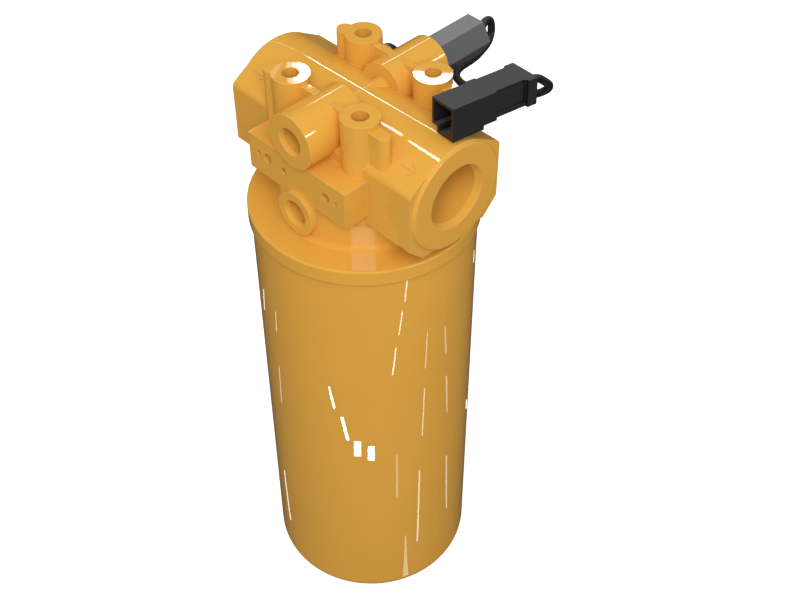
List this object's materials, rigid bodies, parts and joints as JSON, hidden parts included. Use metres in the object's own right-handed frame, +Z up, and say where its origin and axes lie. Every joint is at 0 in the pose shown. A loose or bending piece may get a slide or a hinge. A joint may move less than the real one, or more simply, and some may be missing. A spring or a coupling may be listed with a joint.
{
  "type": "spin-on hydraulic filter",
  "caption": "Spin-on hydraulic filter: painted cast head with opposed threaded ports and mounting bosses, long screw-on canister with pleated element, bypass valve and a switch on a lead.",
  "frame": {"origin": "centre of the canister's flat base, on the canister axis", "axes": "+Z up along the canister axis towards the mounting face; +X along the ports, the way the oil flows; +Y towards the pressure switch"},
  "size_m": [0.1317, 0.1576, 0.3575],
  "materials": {
    "paint": "gloss",
    "plated_steel": "satin",
    "tinned_steel": "satin",
    "spring_steel": "satin",
    "switch_plastic": "satin",
    "connector_plastic": "matt",
    "lead_sheath": "gloss",
    "contact_brass": "satin",
    "rubber": "matt",
    "filter_media": "matt"
  },
  "bodies": {
    "head": {"filter_head": "paint", "nipple": "plated_steel", "valve_cage": "plated_steel", "valve_spring": "spring_steel", "switch_body": "switch_plastic", "switch_ring": "rubber", "switch_grommet": "rubber", "switch_lead": "lead_sheath", "connector_housing": "connector_plastic", "connector_seal": "rubber", "connector_pins": "contact_brass", "port_cap": "connector_plastic"},
    "poppet": {"valve_poppet": "plated_steel"},
    "canister_with_element": {"canister": "paint", "seam_plate": "plated_steel", "tapping_plate": "plated_steel", "head_gasket": "rubber", "element_top_cap": "tinned_steel", "element_bottom_cap": "tinned_steel", "pleated_media": "filter_media", "centre_tube": "tinned_steel", "element_seal": "rubber", "element_spring": "spring_steel"}
  },
  "joints": [
    {"name": "bypass_lift", "type": "slide", "parent": "head", "child": "poppet", "axis": [0, 0, 1], "range_m": [0, 0.005], "stiffness_N_per_m": 3000, "springref_m": -0.005, "deforming": ["valve_spring"]},
    {"name": "canister_unscrew", "type": "hinge", "parent": "head", "child": "canister_with_element", "pos_m": [0, 0, 0.2664], "axis": [0, 0, 1], "range_deg": [-270, 0]}
  ]
}
